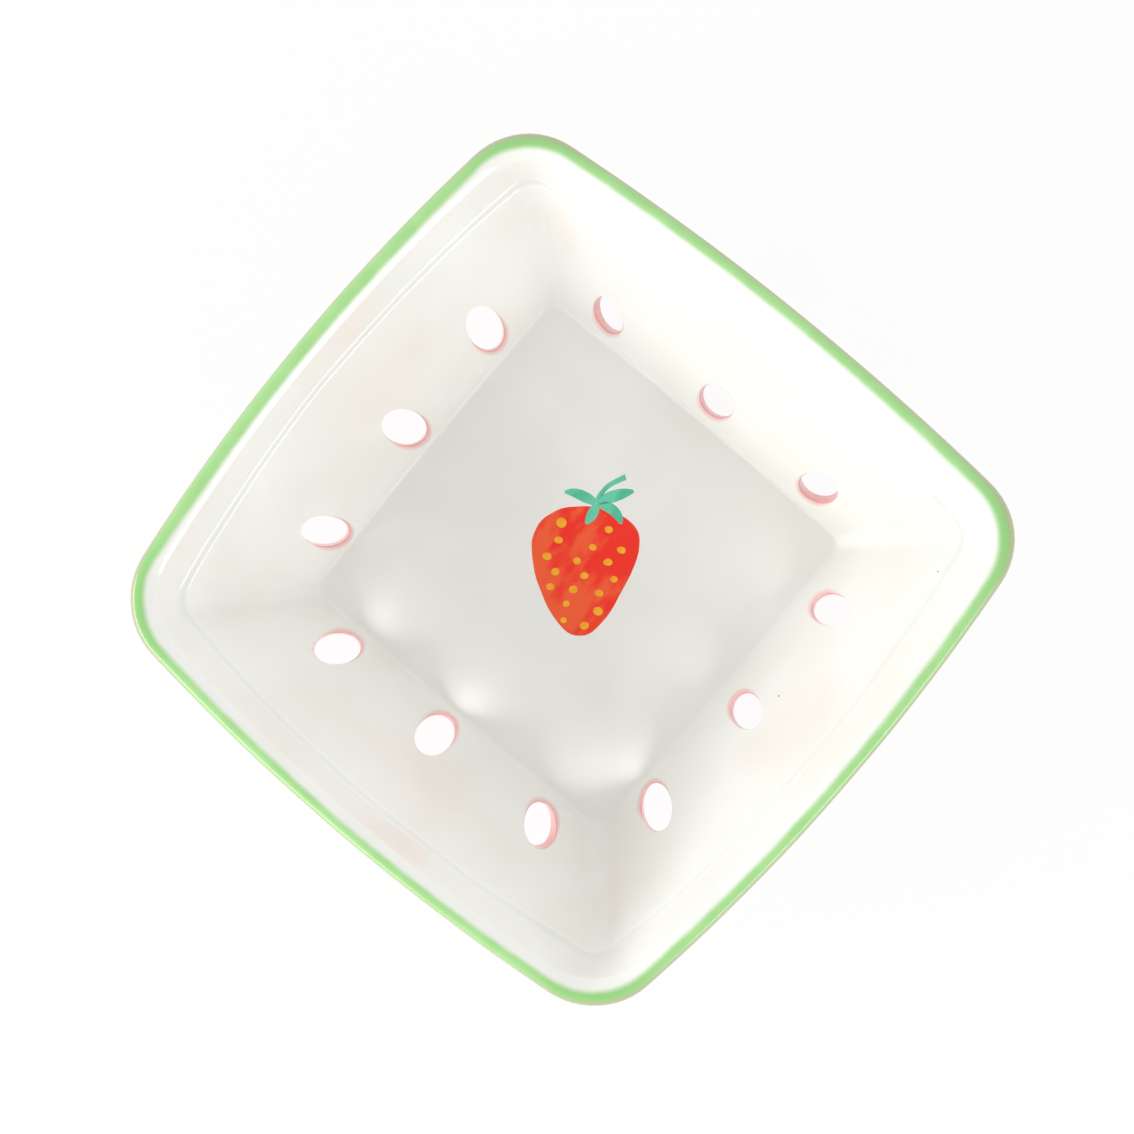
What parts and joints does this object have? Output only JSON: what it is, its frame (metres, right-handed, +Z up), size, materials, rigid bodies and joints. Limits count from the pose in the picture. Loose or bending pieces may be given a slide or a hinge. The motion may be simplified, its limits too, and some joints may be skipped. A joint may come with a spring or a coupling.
{
  "type": "berry colander bowl",
  "caption": "Square glazed stoneware colander bowl with bowed sides, a coloured rim, leaning drain holes low in its walls and a painted strawberry on its floor.",
  "frame": {"origin": "middle of the foot ring's resting plane, under the middle of the bowl", "axes": "+Z up through the mouth, +X and +Y square to the side walls"},
  "size_m": [0.1596, 0.1616, 0.06],
  "materials": {
    "stoneware": "matte",
    "bare_foot": "matte",
    "white_glaze": "gloss",
    "pink_glaze": "gloss",
    "green_glaze": "gloss",
    "red_underglaze": "gloss",
    "yellow_underglaze": "gloss",
    "leaf_underglaze": "gloss"
  },
  "bodies": {
    "root": {"stoneware_body": "stoneware", "foot_ring": "bare_foot", "inside_glaze": "white_glaze", "outside_glaze": "pink_glaze", "drain_hole_glaze": "pink_glaze", "rim_band": "green_glaze", "strawberry_fruit": "red_underglaze", "strawberry_seeds": "yellow_underglaze", "strawberry_leaves": "leaf_underglaze", "strawberry_stem": "leaf_underglaze"}
  },
  "joints": []
}
